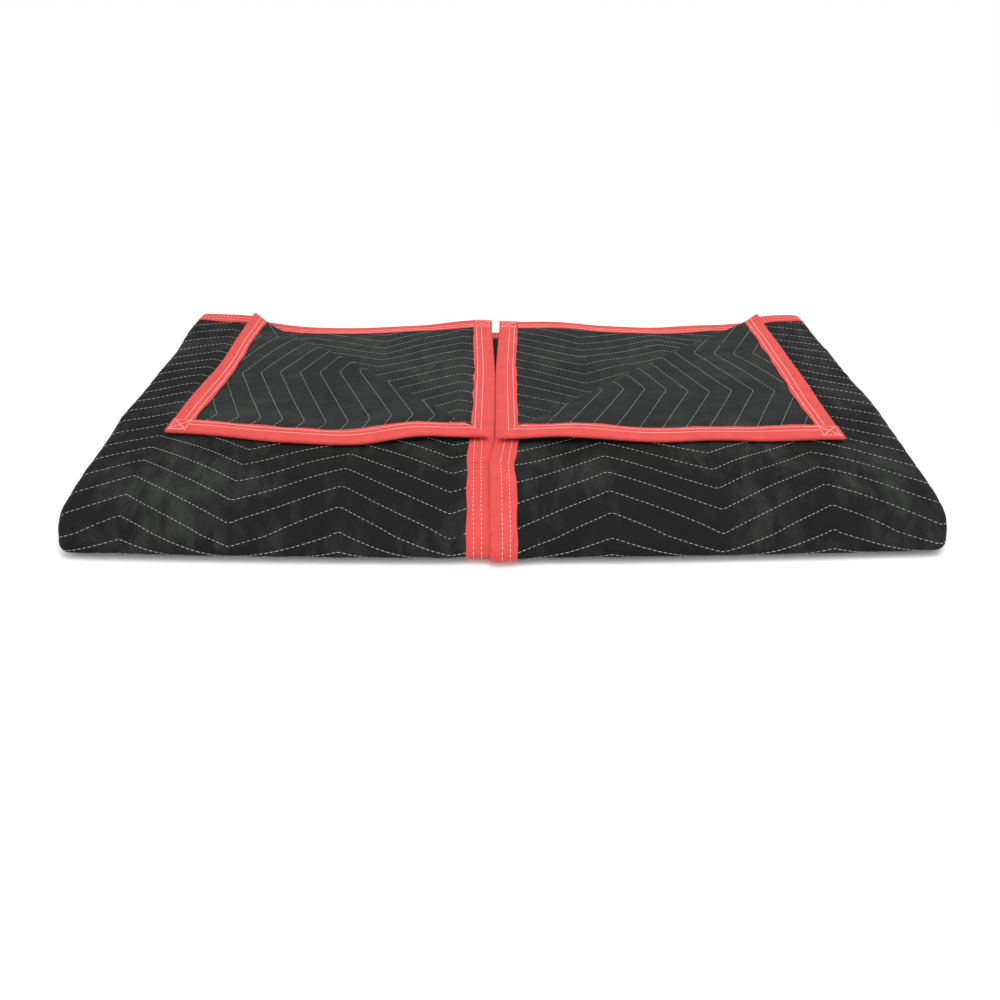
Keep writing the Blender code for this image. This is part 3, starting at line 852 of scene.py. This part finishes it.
tape_thread = sewing_thread("pale_pink_thread", "ffbfb8")
DASHED = {"Pitch": 0.0053, "Stitch Length": 0.0043, "Thickness": 0.0008, "Seed": 5}
SOLID = {"Pitch": 0.0032, "Stitch Length": 0.0033, "Thickness": 0.0010, "Seed": 5}
edge_threads = [sew("join_stitching", join_runs(), stitches,
                    sewing_thread("dark_red_thread", "a83a38"), **DASHED)]
for name, kind, sign in (("left_side_stitching", "side", -1), ("right_side_stitching", "side", 1),
                         ("first_end_stitching", "end", -1), ("second_end_stitching", "end", 1)):
    for leg, face, sizes in (("face", 1, DASHED), ("reverse", -1, SOLID)):
        edge_threads.append(sew(f"{name}_{leg}", tape_runs(kind, sign, face), stitches,
                                tape_thread, **sizes))
for piece in edge_threads:
    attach(piece, "root")


# The studio: a plain white floor that runs far back, a large soft light overhead and a
# weaker fill from the front, as for a picture of one product on white.
def white_floor():
    material, _, shader = new_material("white_floor_paint")
    shader.inputs["Base Color"].default_value = linear("fafafa")
    shader.inputs["Roughness"].default_value = 0.9
    return material


FLOOR_SIDE, FLOOR_FRONT, FLOOR_BACK = 30.0, -10.0, 60.0
floor_data = bpy.data.meshes.new("floor")
floor_data.from_pydata([(-FLOOR_SIDE, FLOOR_FRONT, 0), (FLOOR_SIDE, FLOOR_FRONT, 0),
                        (FLOOR_SIDE, FLOOR_BACK, 0), (-FLOOR_SIDE, FLOOR_BACK, 0)], [],
                       [(0, 1, 2, 3)])
floor_data.materials.append(white_floor())
floor = bpy.data.objects.new("floor", floor_data)
bpy.context.scene.collection.objects.link(floor)

world = bpy.data.worlds.new("studio_air")
world.use_nodes = True
world.node_tree.nodes["Background"].inputs["Color"].default_value = linear("ffffff")
world.node_tree.nodes["Background"].inputs["Strength"].default_value = 1.05
bpy.context.scene.world = world

LIGHTS = (("overhead", (0.15, -0.25, 1.3), (0.0, -0.15, 0.0), 0.9, 9.0),
          ("front_fill", (-0.9, -1.9, 1.3), (0.0, 0.0, 0.05), 1.4, 3.0))
for name, spot, target, size, power in LIGHTS:
    lamp = bpy.data.lights.new(name, "AREA")
    lamp.size = size
    lamp.energy = power
    holder = bpy.data.objects.new(name, lamp)
    holder.location = spot
    toward = np.array(target) - np.array(spot)
    holder.rotation_euler = (math.atan2(math.hypot(toward[0], toward[1]), -toward[2]), 0.0,
                             math.atan2(toward[1], toward[0]) - math.pi / 2)
    bpy.context.scene.collection.objects.link(holder)


# The camera stands close in front of the pad, looking down on it with a wide lens.
CAMERA_AT = (-0.0024, -0.8232, 0.4646)
CAMERA_PITCH = math.radians(34.54)
CAMERA_ROLL = -0.0031
SENSOR = 36.0            # in millimetres, as the lens is
LENS = 0.7571 * SENSOR
camera_data = bpy.data.cameras.new("camera")
camera_data.sensor_width = SENSOR
camera_data.lens = LENS
camera = bpy.data.objects.new("camera", camera_data)
camera.matrix_world = (Matrix.Translation(CAMERA_AT)
                       @ Matrix.Rotation(math.pi / 2 - CAMERA_PITCH, 4, "X")
                       @ Matrix.Rotation(CAMERA_ROLL, 4, "Z"))
bpy.context.scene.collection.objects.link(camera)
bpy.context.scene.camera = camera
bpy.context.scene.view_settings.view_transform = "Standard"
